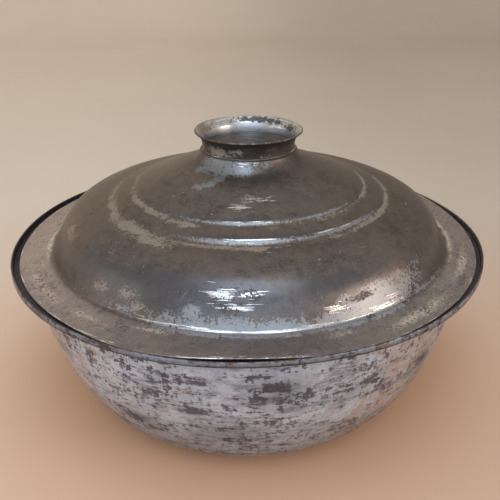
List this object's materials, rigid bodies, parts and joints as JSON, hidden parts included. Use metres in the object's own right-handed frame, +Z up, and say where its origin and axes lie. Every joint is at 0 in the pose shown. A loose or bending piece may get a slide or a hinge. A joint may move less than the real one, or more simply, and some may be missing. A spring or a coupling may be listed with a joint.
{
  "type": "lidded metal bowl",
  "caption": "Round-bottomed tinned copper bowl with a flat ledge and upright rim, closed by a stepped domed lid with a flared ring grip.",
  "frame": {"origin": "middle of the bowl's flat base, on the surface it stands on", "axes": "+Z up along the axis of the bowl and lid; the object is round, so X and Y are free"},
  "size_m": [0.28, 0.28, 0.1694],
  "materials": {
    "bowl_tin": "worn tinning over copper, light grey with dark streaked patches, satin",
    "lid_tin": "dark brown-grey tarnished tinning over copper with lighter worn patches, satin",
    "collar_tin": "tarnished tinning over copper, bright inside, dark outside, satin",
    "solder": "bright soft solder, semi-gloss"
  },
  "bodies": {
    "bowl": {"bowl": "bowl_tin"},
    "lid": {"lid": "lid_tin", "lid_collar": "collar_tin", "collar_solder": "solder"}
  },
  "joints": [
    {"name": "lid_lift", "type": "slide", "parent": "bowl", "child": "lid", "axis": [0, 0, 1], "range_m": [0, 0.15]}
  ]
}
